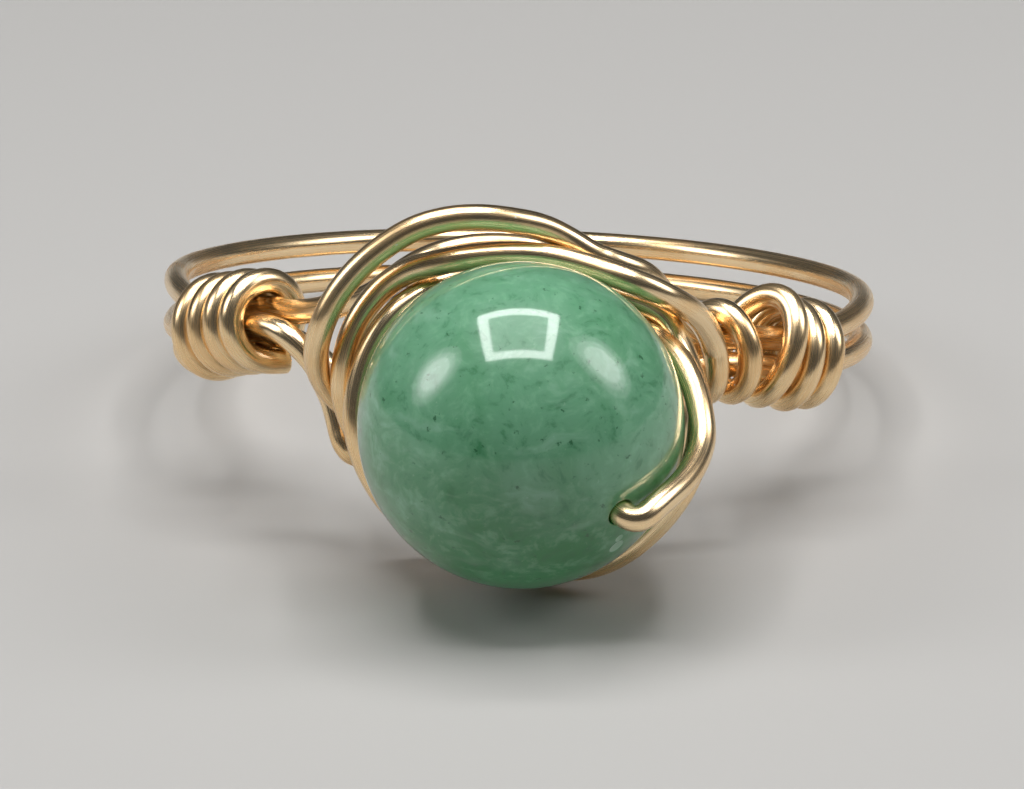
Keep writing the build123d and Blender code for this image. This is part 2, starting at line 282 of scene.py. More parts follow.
def swirl(rows):
    """Corners of a turn round the bead, pushed out by 1/cos(half a step) to keep the wire's reach."""
    places = stepped(rows[0][0], rows[-1][0], swirl_step)
    back, lift = eased(rows, places).T
    return round_bead(places, back, lift, 1 / math.cos(math.radians(swirl_step / 2)))


def core(side, rows):
    """Corners inside a wrap: azimuth = side * (the bead's edge + along), radius and height in pitches."""
    along, out, up = np.array(rows, float).T
    azimuth = side * (bead_side + along * pitch_angle)
    return round_finger(azimuth, core_radius + out * pitch, up * pitch)


def bare_band(column):
    """Corners of the upper (0) or lower (1) wire round the back of the finger, from right to left."""
    first = bead_side + band_from * pitch_angle
    last = 360 - bead_side - band_to * pitch_angle
    azimuth = stepped(first, last, band_step)
    height = eased(band, (azimuth - first) / (last - first))[:, column] * pitch
    return round_finger(azimuth, band_radius / math.cos(math.radians(band_step / 2)), height)


print("the upper wire of the band has", len(bare_band(0)), "corners")

# %% [markdown]
# ## Coils, and one wire cut into stretches
# A coil on a wrap is a helix round the band, oval as the wires that it holds lie side by side.
# The rows above and the coils are then strung together in the order in which the wire was
# wound: one end from the middle of the bead to the left wrap, the other from the
# middle of the bead to the right one. Where one solid hands over to the next there is a
# hair of air, so each stretch ends square, just short of the middle of the shared leg.

# %% The helix of a coil
# Degrees from one corner of a coil to the next.
coil_step = 36


def coil(side, rows):
    """Corners of an oval helix: width*cos and height*sin of the angle, all else eased between rows."""
    angle = stepped(rows[0][0], rows[-1][0], coil_step)
    along, up, out, half_width, half_height, lean, slant = eased(rows, angle).T
    push = 1 / math.cos(math.radians(coil_step / 2))
    width = half_width * np.cos(np.radians(angle))
    height = half_height * np.sin(np.radians(angle))
    azimuth = side * (bead_side + (along + lean * width + slant * height) * pitch_angle)
    radius = band_radius + (out + width * push) * pitch
    return round_finger(azimuth, radius, (up + height * push) * pitch)


def bead_rows(rows):
    """Corners straight from rows of clock angle, back and lift, with nothing between them."""
    clock, back, lift = np.array(rows, float).T
    return round_bead(clock, back, lift)


def cut_apart(stretches):
    """Corners of each stretch, with the shared leg's middle -+ half a hair at a cut between two."""
    names = list(stretches)
    paths = {name: np.concatenate(parts) for name, parts in stretches.items()}
    for name, following in zip(names, names[1:]):
        end, start = paths[name][-1], paths[following][0]
        middle = (end + start) / 2
        half_gap = (start - end) / np.linalg.norm(start - end) * hair / 2
        paths[name] = np.vstack([paths[name], middle - half_gap])
        paths[following] = np.vstack([middle + half_gap, paths[following]])
    return paths


# %% The two ends of the wire
# The last straight corner lies this far inside the ball, which keeps the wire straight in the hole.
straight_inside = 0.7
deep_in_hole = bead_radius - straight_inside
# The right coil's first corners belong to the stretch before it: the cut is under that turn.
turned_in = 5
long_end = cut_apart({
    "bead_wire": [
        in_hole(hair / 2, deep_in_hole, hole_exit),
        swirl(curl + left_hug + rise + over_top),
        core(-1, left_upper),
    ],
    "band_upper": [bare_band(0)[::-1]],
    "swirl_outer": [core(1, right_upper), swirl(outer_top + outer_side), core(1, right_lower)],
    "band_lower": [bare_band(1)],
    "left_wrap": [
        core(-1, left_lower), bead_rows(hook), core(-1, left_lead), coil(-1, left_turns),
    ],
})
right_coil = coil(1, right_turns)
short_end = cut_apart({
    "swirl_front": [
        in_hole(-hair / 2, -deep_in_hole, -hole_exit), swirl(back_turn + front_turn),
        right_coil[:turned_in],
    ],
    "right_wrap": [right_coil[turned_in:]],
})
corners_of = {**long_end, **short_end}
for name, corners in corners_of.items():
    print(f"{name}: {len(corners)} corners")

# %% [markdown]
# ## Round every corner
# A bend in wire is smooth from end to end. The quadratic curve that starts at the middle of
# one leg, ends at the middle of the next and has the corner as its control point leaves
# both legs in their own direction, so a string of such curves has no kink anywhere. It can
# be worked out for all corners at once, which suits numpy.

# %% Smooth paths through the corners
steps_per_corner = 8


def smooth(corners):
    """Points and directions: (1-t)^2*A + 2t(1-t)*corner + t^2*B, A and B the middles of its legs."""
    middles = (corners[:-1] + corners[1:]) / 2
    middles[0], middles[-1] = corners[0], corners[-1]
    start, knee, end = middles[:-1, None], corners[1:-1, None], middles[1:, None]
    t = (np.arange(steps_per_corner) / steps_per_corner)[None, :, None]
    points = (1 - t) ** 2 * start + 2 * t * (1 - t) * knee + t**2 * end
    headings = (1 - t) * (knee - start) + t * (end - knee)
    points = np.vstack([points.reshape(-1, 3), corners[-1:]])
    headings = np.vstack([headings.reshape(-1, 3), corners[-1:] - corners[-2:-1]])
    return points, headings / np.linalg.norm(headings, axis=1, keepdims=True)


path_of = {name: smooth(corners) for name, corners in corners_of.items()}
length = sum(np.linalg.norm(np.diff(points, axis=0), axis=1).sum() for points, _ in path_of.values())
print(f"the whole wire is {length:.0f} mm long")

# %% [markdown]
# ## Where the ring lies
# The ring rests on its side as it would by itself: on the swirl under the bead in front and
# on the lower wire of the band behind, tipped back a little and rolled a little to one side.
# The middle of its footprint is the origin. Turning the finished points once, by a matrix,
# keeps all the sizes above in the ring's own simple frame.

# %% Turn and shift from the ring's frame to the floor
# Degrees by which the front is tipped up and the ring leans to one side.
rest_tilt = 13.0
rest_roll = -2.3


def turning(axis, degrees):
    """The rotation matrix about an axis of the frame, from mathutils, as a numpy array."""
    return np.array(Matrix.Rotation(math.radians(degrees), 3, axis))


lying = turning("Y", -rest_roll) @ turning("X", -rest_tilt)
bead_centre = in_hole(0.0)[0]
turned = np.vstack([points for points, _ in path_of.values()]) @ lying.T
turned_bead = lying @ bead_centre
lowest = np.minimum(turned.min(axis=0) - wire_radius, turned_bead - bead_radius)
highest = np.maximum(turned.max(axis=0) + wire_radius, turned_bead + bead_radius)
to_footprint = np.array([-(lowest + highest)[0] / 2, -(lowest + highest)[1] / 2, -lowest[2]])


def laid(points):
    """Points of the ring's frame in millimetres, turned, shifted to the footprint, in metres."""
    return (points @ lying.T + to_footprint) * MM


stone_centre = laid(bead_centre)

# %% [markdown]
# ## Wire as a surface
# Round wire is a circle carried along its path. A curve with a bevel would also make it, but
# a grid worked out here can have neatly broken cut ends and a UV map whose V is the distance
# along the wire, which the drawn lines of the finish need. The circle mustn't twist as it
# goes, so each station takes over the frame of the one before it, turned only as far as the
# path bends. That is a running product of small turns. Doubling the reach of the product at
# each pass gives all of them in ten or so steps instead of one per station.

# %% Frames that do not twist
# The first frame starts from this direction, which no wire's start points along.
aslant = [0.3, 0.2, 1.0]


def small_turns(headings):
    """Rotation from each heading h to the next g: I + [v] + [v][v]/(1 + h.g), with v = h x g."""
    v = np.cross(headings[:-1], headings[1:])
    cosine = np.einsum("ij,ij->i", headings[:-1], headings[1:])
    zero = np.zeros(len(v))
    cross = np.stack([
        zero, -v[:, 2], v[:, 1], v[:, 2], zero, -v[:, 0], -v[:, 1], v[:, 0], zero,
    ], axis=1).reshape(-1, 3, 3)
    return np.eye(3) + cross + cross @ cross / (1 + cosine)[:, None, None]


def running_product(turns):
    """Product of all turns up to each place, by doubling: P[n] = P[n] @ P[n - reach], reach 1, 2, 4..."""
    product = np.concatenate([np.eye(3)[None], turns])
    reach = 1
    while reach < len(product):
        product[reach:] = product[reach:] @ product[:-reach]
        reach *= 2
    return product


def frames(headings):
    """Two directions across the wire at each station, carried along without twist."""
    across = np.cross(headings[0], aslant)
    across /= np.linalg.norm(across)
    first = running_product(small_turns(headings)) @ across
    return first, np.cross(headings, first)


print("the last frame of the left wrap points", frames(path_of["left_wrap"][1])[0][-1].round(2))


# %% The surface of a stretch of wire
sides = 36
broken_edge = 0.05
# The path's own stations keep this far from its ends, to leave room for the broken edge.
edge_room = 1.2 * broken_edge


def with_ends(points, headings):
    """Stations with a quarter round added at both ends: inset e(1-cos a), radius r-e(1-sin a)."""
    run = np.concatenate([[0], np.cumsum(np.linalg.norm(np.diff(points, axis=0), axis=1))])
    kept = (run > edge_room) & (run < run[-1] - edge_room)
    a = np.radians([0, 22.5, 45, 67.5, 90])
    inset = broken_edge * (1 - np.cos(a))
    radius = wire_radius - broken_edge * (1 - np.sin(a))
    start = points[0] + np.outer(inset, headings[0])
    end = (points[-1] - np.outer(inset, headings[-1]))[::-1]
    stations = np.vstack([start, points[kept], end])
    directions = np.vstack([
        np.repeat(headings[:1], len(a), axis=0), headings[kept],
        np.repeat(headings[-1:], len(a), axis=0),
    ])
    radii = np.concatenate([radius, np.full(kept.sum(), wire_radius), radius[::-1]])
    along = np.concatenate([inset, run[kept], run[-1] - inset[::-1]])
    return stations, directions, radii, along


def wire_grid(points, headings):
    """Grid of station + radius*(cos(u)*first + sin(u)*second), one row of it at each station."""
    stations, directions, radii, along = with_ends(points, headings)
    first, second = frames(directions)
    turn = np.linspace(0, 2 * np.pi, sides, endpoint=False)
    spokes = np.cos(turn)[:, None] * first[:, None] + np.sin(turn)[:, None] * second[:, None]
    return stations[:, None] + radii[:, None, None] * spokes, along, stations[[0, -1]]


grid, along, _ = wire_grid(*path_of["left_wrap"])
print("left wrap:", grid.shape[0], "stations of", grid.shape[1], "sides,", round(along[-1], 1), "mm")


# %% Mesh objects from grids
def mesh_object(name, points, quads, triangles=()):
    """An object at the origin: points as rows, faces given as rows of point numbers, smooth shaded."""
    mesh = bpy.data.meshes.new(name)
    mesh.from_pydata(points, [], np.asarray(quads).tolist() + np.asarray(triangles).tolist())
    mesh.update()
    mesh.polygons.foreach_set("use_smooth", np.ones(len(mesh.polygons), bool))
    thing = bpy.data.objects.new(name, mesh)
    bpy.context.scene.collection.objects.link(thing)
    return thing


def ring_quads(rows, columns, closed_rows=False):
    """Quads of a grid that is closed round its columns: (r, c), (r, c+1), (r+1, c+1), (r+1, c)."""
    row = np.arange(rows if closed_rows else rows - 1)[:, None]
    column = np.arange(columns)[None]
    following, after = (row + 1) % rows, (column + 1) % columns
    corners = [row * columns + column, row * columns + after,
               following * columns + after, following * columns + column]
    return np.stack([np.broadcast_to(c, (len(row), columns)) for c in corners], axis=-1).reshape(-1, 4)


def volume(thing):
    """Signed volume in cubic millimetres, from the divergence of its triangles: outward is positive."""
    mesh = thing.data
    mesh.calc_loop_triangles()
    corners = np.empty(len(mesh.loop_triangles) * 3, np.int32)
    mesh.loop_triangles.foreach_get("vertices", corners)
    places = np.empty(len(mesh.vertices) * 3, np.float32)
    mesh.vertices.foreach_get("co", places)
    a, b, c = (places.reshape(-1, 3)[corners].reshape(-1, 3, 3).transpose(1, 0, 2) / MM).astype(float)
    return float(np.einsum("ij,ij->i", a, np.cross(b, c)).sum() / 6)


def wire_object(name, points, headings):
    """Wire of stations and sides, closed by a fan at each cut; UV is (share round, mm along)."""
    grid, along, middles = wire_grid(points, headings)
    rows = len(grid)
    quads = ring_quads(rows, sides)
    side = np.arange(sides)
    onward = (side + 1) % sides
    last = (rows - 1) * sides
    start_fan = np.stack([onward, side, np.full(sides, rows * sides)], axis=1)
    end_fan = np.stack([last + side, last + onward, np.full(sides, rows * sides + 1)], axis=1)
    places = laid(np.vstack([grid.reshape(-1, 3), middles]))
    thing = mesh_object(name, places, quads, np.vstack([start_fan, end_fan]))
    share = np.array([[0, 1, 1, 0]]) / sides + np.tile(side, rows - 1)[:, None] / sides
    upto = np.repeat(np.stack([along[:-1], along[:-1], along[1:], along[1:]], axis=1), sides, axis=0)
    fans = np.zeros((2 * 3 * sides, 2))
    uv = np.vstack([np.stack([share.ravel(), upto.ravel()], axis=1), fans])
    layer = thing.data.uv_layers.new(name="wire")
    layer.data.foreach_set("uv", uv.astype(np.float32).ravel())
    cut = np.zeros(len(thing.data.polygons), np.float32)
    cut[len(quads):] = 1
    thing.data.attributes.new("cut", "FLOAT", "FACE").data.foreach_set("value", cut)
    return thing


# %% Make the seven stretches of wire
wires = {}
for name, (points, headings) in path_of.items():
    wires[name] = wire_object(f"{name}_finished", points, headings)
    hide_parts(name)
    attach(wires[name], "root")
    print(f"{name}: {len(wires[name].data.polygons)} faces, {volume(wires[name]):.2f} mm3")

# %% [markdown]
# ## The bead
# The bead is a ball with a drilled hole. Turned round the axis of the hole it is one closed
# profile: the ball's outline, a small round at each mouth where the drill's edge was
# polished away, and the straight bore. A boolean would give the same shape with ragged
# faces at the mouth. A profile puts its rows where they are needed, close together near
# the front mouth, where the stone is chipped.

# %% Profile of the drilled bead
bore_radius = (wire_diameter + hole_clearance) / 2
mouth_round = 0.05
around = 360
# The ball's rows lie closer together up to this angle from the front mouth, for the chips.
chipped_to = math.radians(24)
chipped_rows, plain_rows, mouth_rows, bore_rows = 44, 84, 6, 12


def bead_profile():
    """Rows of (radius, height): a round at the front mouth, the ball by polar angle, round, bore."""
    centre_out = bore_radius + mouth_round
    centre_up = math.sqrt((bead_radius - mouth_round) ** 2 - centre_out**2)
    meet = math.atan2(centre_out, centre_up)
    a = np.linspace(math.pi, math.pi / 2 - meet, mouth_rows)
    front = np.stack([centre_out + mouth_round * np.cos(a), centre_up + mouth_round * np.sin(a)], axis=1)
    polar = np.concatenate([
        np.linspace(meet, chipped_to, chipped_rows)[1:],
        np.linspace(chipped_to, math.pi - meet, plain_rows)[1:],
    ])
    ball = bead_radius * np.stack([np.sin(polar), np.cos(polar)], axis=1)
    rear = (front * [1, -1])[::-1][1:]
    height = np.linspace(-centre_up, centre_up, bore_rows)[1:-1]
    bore = np.stack([np.full(len(height), bore_radius), height], axis=1)
    return np.vstack([front, ball, rear, bore])


profile = bead_profile()
print("the bead's profile has", len(profile), "rows")

# %% [markdown]
# ## Chips at the front mouth
# Drilling chips a stone's edge. Each chip is a shallow scoop: the stone that is within some
# distance of a point just above the surface is pushed away to that distance. A knife tool
# or a sculpting brush could cut them too, but four rows of numbers are easier to change.
# How deep each point was pushed is kept as an attribute, because a fresh chip is paler and
# duller than the polish round it.

# %% Scoops in the bead
# Columns: clock angle and back of the place on the bead (back in millimetres), its width
# and its depth in millimetres.
chips = [
    (137.5, -1.92, 0.46, 0.05),
    (134.0, -2.15, 0.26, 0.035),
    (118.0, -2.4, 0.2, 0.03),
    (126.5, -2.05, 0.16, 0.025),
]


def chip_centres(rows):
    """Centres above the ball: for width w and depth d, radius R = (w^2/4 + d^2)/2d, height R - d."""
    clock, back, width, depth = np.array(rows).T
    scoop = (width**2 / 4 + depth**2) / (2 * depth)
    lean = np.arcsin(back / bead_radius)
    reach = bead_radius + scoop - depth
    turned = np.radians(clock)
    outward = np.cos(lean)
    direction = np.stack([outward * np.sin(turned), np.sin(lean), outward * np.cos(turned)], axis=1)
    return bead_centre + direction * reach[:, None], scoop


def scooped(points):
    """Each point within a scoop is moved straight away from its centre to the scoop's radius."""
    depth = np.zeros(len(points))
    for centre, scoop in zip(*chip_centres(chips)):
        away = points - centre
        distance = np.linalg.norm(away, axis=1)
        push = np.clip(scoop - distance, 0, None)
        points = points + away / distance[:, None] * push[:, None]
        depth = np.maximum(depth, push)
    return points, depth


# %% Make the bead
axis = in_hole(1.0)[0] - bead_centre
across = np.cross(axis, [0, 0, 1])
across /= np.linalg.norm(across)
upward = np.cross(axis, across)
turn = np.linspace(0, 2 * np.pi, around, endpoint=False)
spokes = np.cos(turn)[:, None] * upward + np.sin(turn)[:, None] * across
bead_grid = bead_centre + profile[:, :1, None] * spokes + profile[:, 1, None, None] * axis
bead_points, chipped = scooped(bead_grid.reshape(-1, 3))
bead = mesh_object("jade_bead_finished", laid(bead_points), ring_quads(len(profile), around, True))
bead.data.attributes.new("chipped", "FLOAT", "POINT").data.foreach_set("value", chipped.astype(np.float32))
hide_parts("jade_bead")
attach(bead, "root")
print(f"bead: {len(bead.data.polygons)} faces, {volume(bead):.2f} mm3, deepest chip {chipped.max():.3f} mm")

# %% [markdown]
# ## Nodes from code
# A material is a tree of nodes. A few small helpers keep the trees readable. The first two
# add a node, with its properties and inputs by name, and link an output to an input. The
# others are built on them, one for each kind of node that comes up again and again. What
# feeds an input is called a source here: a node, or a node and the name of its output.

# %% Add a node, and join two
def add(tree, kind, **settings):
    """A new shader node; each setting is one of its properties, or an input by its name."""
    made = tree.nodes.new("ShaderNode" + kind)
    for key, value in settings.items():
        if hasattr(made, key):
            setattr(made, key, value)
        else:
            made.inputs[key.replace("_", " ")].default_value = value
    return made


def join(tree, source, target, target_input):
    """Link a source, which is a node for its first output or (node, output), to a node's input."""
    node, output = source if isinstance(source, tuple) else (source, 0)
    tree.links.new(node.outputs[output], target.inputs[target_input])


print("node helpers: add and join")


# %% Sums, ranges and colour mixes
def maths(tree, operation, first, second=0.0):
    """A Math node; first and second are numbers or sources."""
    made = add(tree, "Math", operation=operation)
    for place, value in enumerate((first, second)):
        if isinstance(value, (int, float)):
            made.inputs[place].default_value = value
        else:
            join(tree, value, made, place)
    return made


def between(tree, source, low, high, to_low=0.0, to_high=1.0):
    """Map Range, smooth: low becomes to_low and high becomes to_high, with no step at either end."""
    made = add(
        tree, "MapRange", interpolation_type="SMOOTHSTEP",
        From_Min=low, From_Max=high, To_Min=to_low, To_Max=to_high,
    )
    join(tree, source, made, "Value")
    return made


# A Mix node has sockets for numbers, vectors and colours, and these are the ones for colours.
colour_inputs = (6, 7)
colour_output = 2


def blended(tree, factor, first, second):
    """A colour mix, as a source; first and second are colours, or mixes made before."""
    made = add(tree, "Mix", data_type="RGBA")
    join(tree, factor, made, 0)
    for place, value in zip(colour_inputs, (first, second)):
        if len(value) == 3:
            made.inputs[place].default_value = (*value, 1)
        else:
            join(tree, value, made, place)
    return made, colour_output


def painted(tree, ground, layers):
    """The ground with layers of (mask, share, colour) over it: each is a mix by mask * share."""
    for mask, share, colour in layers:
        ground = blended(tree, maths(tree, "MULTIPLY", mask, share), ground, colour)
    return ground


print("node helpers: maths, between, blended and painted")


# %% New groups and materials
def new_group(name, inputs, outputs):
    """An empty shader group with float, vector or colour sockets, and its two end nodes."""
    group = bpy.data.node_groups.new(name, "ShaderNodeTree")
    for socket, kind, value in inputs:
        made = group.interface.new_socket(name=socket, in_out="INPUT", socket_type=f"NodeSocket{kind}")
        if value is not None:
            made.default_value = value
    for socket, kind in outputs:
        group.interface.new_socket(name=socket, in_out="OUTPUT", socket_type=f"NodeSocket{kind}")
    return group, group.nodes.new("NodeGroupInput"), group.nodes.new("NodeGroupOutput")


def new_material(name):
    """A material with an empty tree but for its Principled shader and output, already joined."""
    material = bpy.data.materials.new(name)
    material.use_nodes = True
    tree = material.node_tree
    tree.nodes.clear()
    shader = add(tree, "BsdfPrincipled")
    join(tree, shader, add(tree, "OutputMaterial"), "Surface")
    return material, tree, shader


print("node helpers: new_group and new_material")

# %% [markdown]
# ## Dust
# At this size every surface carries a few specks of dust: tiny, pale and sharp-edged. They
# are the cells of a Voronoi texture, most of them switched off by the cell's own random
# colour, so that specks are rare and unevenly strewn. Both stone and metal use it, so it is
# a group with its own values in each material.

# %% Group: dust specks
dust, dust_in, dust_out = new_group(
    "dust specks",
    [
        ("Position", "Vector", None), ("Scale", "Float", 4.0),
        ("Share", "Float", 0.1), ("Size", "Float", 0.12),
    ],
    [("Mask", "Float")],
)
cells = add(dust, "TexVoronoi", feature="F1")
join(dust, (dust_in, "Position"), cells, "Vector")
join(dust, (dust_in, "Scale"), cells, "Scale")
pick = add(dust, "SeparateColor")
join(dust, (cells, "Color"), pick, "Color")
here = maths(dust, "LESS_THAN", pick, (dust_in, "Share"))
own_size = maths(dust, "MULTIPLY", (pick, "Green"), (dust_in, "Size"))
nearness = maths(dust, "SUBTRACT", own_size, (cells, "Distance"))
speck = between(dust, nearness, 0.0, 0.03)
join(dust, maths(dust, "MULTIPLY", speck, here), dust_out, "Mask")
print("group:", dust.name)


# %% Object coordinates in millimetres
def own_millimetres(tree, centre=(0.0, 0.0, 0.0)):
    """A Mapping node: (object coordinate - centre) * 1000, so that patterns are sized in millimetres."""
    made = add(tree, "Mapping", vector_type="POINT")
    made.inputs["Scale"].default_value = (1 / MM,) * 3
    made.inputs["Location"].default_value = tuple(-float(v) / MM for v in centre)
    join(tree, (add(tree, "TexCoord"), "Object"), made, "Vector")
    return made


print("patterns are sized in millimetres")

# %% [markdown]
# ## Drawn wire
# Wire is pulled through a die, and every roughness of the die leaves a line along it. The
# lines are a noise read on the wire's own UV map: round the wire it is wrapped on a circle
# so that it meets itself, and along the wire it is stretched about 260 times. The same
# group gives slower waves, the small unevenness that fingers and pliers leave in a bend.

# %% Vectors taken apart and put together, and noise
def parts_of(tree, vector):
    """A Separate XYZ node, whose outputs are the vector's X, Y and Z."""
    made = add(tree, "SeparateXYZ")
    join(tree, vector, made, "Vector")
    return made


def vector_of(tree, *parts):
    """A Combine XYZ node of three sources."""
    made = add(tree, "CombineXYZ")
    for place, part in enumerate(parts):
        join(tree, part, made, place)
    return made


def noise(tree, place, scale, detail, roughness):
    """A noise texture read at a place: its size is 1/scale, with finer layers by detail and roughness."""
    made = add(tree, "TexNoise", Scale=scale, Detail=detail, Roughness=roughness)
    join(tree, place, made, "Vector")
    return made


print("node helpers: parts_of, vector_of and noise")

# %% Group: drawn lines
drawn, drawn_in, drawn_out = new_group(
    "drawn lines",
    [("Lines", "Float", 5.0), ("Stretch", "Float", 0.06)],
    [("Line", "Float"), ("Wave", "Float")],
)
wire_map = parts_of(drawn, add(drawn, "UVMap", uv_map="wire"))
down_wire = (wire_map, "Y")
angle = maths(drawn, "MULTIPLY", wire_map, 2 * math.pi)
cosine = maths(drawn, "COSINE", angle)
sine = maths(drawn, "SINE", angle)
line_at = vector_of(
    drawn,
    maths(drawn, "MULTIPLY", cosine, (drawn_in, "Lines")),
    maths(drawn, "MULTIPLY", sine, (drawn_in, "Lines")),
    maths(drawn, "MULTIPLY", down_wire, (drawn_in, "Stretch")),
)
lines = noise(drawn, line_at, 1.6, 5.0, 0.65)
join(drawn, between(drawn, lines, 0.35, 0.65), drawn_out, "Line")
wave_at = vector_of(drawn, cosine, sine, maths(drawn, "MULTIPLY", down_wire, 0.9))
join(drawn, noise(drawn, wave_at, 0.8, 2.0, 0.5), drawn_out, "Wave")
print("group:", drawn.name)

# %% [markdown]
# ## Gold-coloured wire
# The wire is brass with a pale gold skin, polished but not a mirror. A metal has no colour
# but that of its reflections, so the base colour is that of the brightest reflection, and
# the warm orange between the turns comes from light that bounces twice. The drawn lines
# change the roughness a little and, with the waves and a few tiny nicks, raise a very low
# bump. Where the wire was cut, the brass core shows, redder and duller.

# %% Material: gold wire
gold, tree, shader = new_material("gold_wire")
shader.inputs["Anisotropic"].default_value = 0.25
marks = add(tree, "Group", node_tree=drawn, Lines=5.0, Stretch=0.06)
place = own_millimetres(tree)
tarnish = noise(tree, place, 0.55, 3.0, 0.55)
pale_gold, warm_gold = (1.0, 0.775, 0.48), (0.96, 0.67, 0.36)
skin = blended(tree, between(tree, tarnish, 0.38, 0.66), pale_gold, warm_gold)
cut_end = (add(tree, "Attribute", attribute_name="cut"), "Fac")
gold_dust = add(tree, "Group", node_tree=dust, Scale=2.4, Share=0.07, Size=0.085)
join(tree, place, gold_dust, "Position")
gold_colour = painted(tree, skin, [
    (marks, 0.22, (0.8, 0.5, 0.22)),
    (cut_end, 0.8, (0.62, 0.4, 0.19)),
    (gold_dust, 1.0, (0.86, 0.84, 0.8)),
])
join(tree, gold_colour, shader, "Base Color")
join(tree, maths(tree, "SUBTRACT", 1.0, maths(tree, "MULTIPLY", gold_dust, 0.9)), shader, "Metallic")
print("material:", gold.name, "colour and metal")

# %% Material: the roughness and bump of the wire
polish = between(tree, marks, 0.0, 1.0, 0.2, 0.28)
dull = maths(tree, "ADD", polish, maths(tree, "MULTIPLY", gold_dust, 0.4))
worn = maths(tree, "ADD", dull, between(tree, tarnish, 0.35, 0.7, 0.0, 0.06))
join(tree, maths(tree, "ADD", worn, maths(tree, "MULTIPLY", cut_end, 0.25)), shader, "Roughness")
nick = add(tree, "TexVoronoi", feature="F1", Scale=1.1)
join(tree, place, nick, "Vector")
nicks = between(tree, (nick, "Distance"), 0.02, 0.09, -0.25, 0.0)
waviness = maths(tree, "MULTIPLY", (marks, "Wave"), 0.7)
height = maths(tree, "ADD", maths(tree, "MULTIPLY", marks, 0.05), waviness)
bump = add(tree, "Bump", Strength=0.3, Distance=0.04 * MM)
join(tree, maths(tree, "ADD", height, nicks), bump, "Height")
join(tree, bump, shader, "Normal")
for thing in wires.values():
    thing.data.materials.append(gold)
print("material:", gold.name, "on", len(wires), "pieces")

# %% [markdown]
# ## Green stone
# The stone is a mass of tiny grains, milky where light gets in and deep green where they lie
# close. It needs three things: light that wanders inside it, which is subsurface
# scattering, a hard clear polish, which is a coat over a softer base, and a pattern at three
# scales: clouds of about two millimetres, mottles of less than half of one, and flecks with
# ragged rims. The lowest part is painted a lighter green, a painted light for light that has
# come through the whole bead. All of it reads Object coordinates in millimetres about the
# bead's centre, so the pattern runs through the stone like the real one, and the chips show it too.

# %% Places pushed about or stretched
def pushed(tree, place, push, amount):
    """A place moved by the colour of a noise, read as a vector: place + amount * colour."""
    scaled = add(tree, "VectorMath", operation="SCALE", Scale=amount)
    join(tree, (push, "Color"), scaled, 0)
    made = add(tree, "VectorMath", operation="ADD")
    join(tree, place, made, 0)
    join(tree, scaled, made, 1)
    return made


def stretched(tree, place, factors):
    """A place with X, Y and Z multiplied by factors, which makes a pattern that much finer there."""
    made = add(tree, "VectorMath", operation="MULTIPLY")
    made.inputs[1].default_value = factors
    join(tree, place, made, 0)
    return made


print("node helpers: pushed and stretched")

# %% Material: clouds, mottles and wisps of the stone
jade, tree, shader = new_material("jade")
place = own_millimetres(tree, stone_centre)
shoved = pushed(tree, place, noise(tree, place, 0.7, 2.0, 0.5), 1.1)
clouds = noise(tree, shoved, 0.42, 4.0, 0.6)
mottles = noise(tree, shoved, 2.4, 6.0, 0.62)
stone_height = (parts_of(tree, place), "Z")
# Painted light: the upper stone is painted milkier and the lower stone deeper green, as if lit from above.
painted_top_light = between(tree, stone_height, -4.2, 3.0)
milk_and_top_light = maths(tree, "ADD", maths(tree, "MULTIPLY", clouds, 0.9), maths(tree, "MULTIPLY", painted_top_light, 0.42))
deep_green, milky_green = (0.012, 0.2, 0.045), (0.14, 0.35, 0.205)
ground = blended(tree, between(tree, milk_and_top_light, 0.36, 0.92), deep_green, milky_green)
pale_mottles = between(tree, mottles, 0.48, 0.7)
dark_mottles = between(tree, mottles, 0.3, 0.46, 1.0, 0.0)
# Painted light: the lowest part of the bead is painted a lighter green, for light that comes through it.
painted_light_low = between(tree, stone_height, -3.95, -2.2, 1.0, 0.0)
streaks = noise(tree, stretched(tree, shoved, (0.5, 1.0, 1.9)), 1.1, 4.0, 0.55)
fewer_low = between(tree, stone_height, -3.8, 0.5, 0.35, 1.0)
wisps = maths(tree, "MULTIPLY", between(tree, streaks, 0.52, 0.76), fewer_low)
print("material:", jade.name, "clouds, mottles and wisps")

# %% Material: flecks of the stone
ragged = pushed(tree, place, noise(tree, place, 7.0, 2.0, 0.6), 0.3)


def flecks(scale, share, size, feather, stretch=(1.0, 1.0, 1.0)):
    """Cells whose random colour is below a share hold a fleck of their own size, with a ragged rim."""
    cells = add(tree, "TexVoronoi", feature="F1", Scale=scale)
    join(tree, stretched(tree, ragged, stretch), cells, "Vector")
    pick = add(tree, "SeparateColor")
    join(tree, (cells, "Color"), pick, "Color")
    own_size = maths(tree, "MULTIPLY", (pick, "Green"), size)
    inside = maths(tree, "SUBTRACT", own_size, (cells, "Distance"))
    here = maths(tree, "LESS_THAN", pick, share)
    return maths(tree, "MULTIPLY", between(tree, inside, 0.0, feather), here)


pale_flecks = flecks(2.1, 0.25, 0.26, 0.3)
dark_flecks = flecks(3.1, 0.75, 0.31, 0.2, (1.0, 1.0, 1.5))
fine_flecks = flecks(6.5, 0.2, 0.3, 0.2)
print("material:", jade.name, "three kinds of flecks")

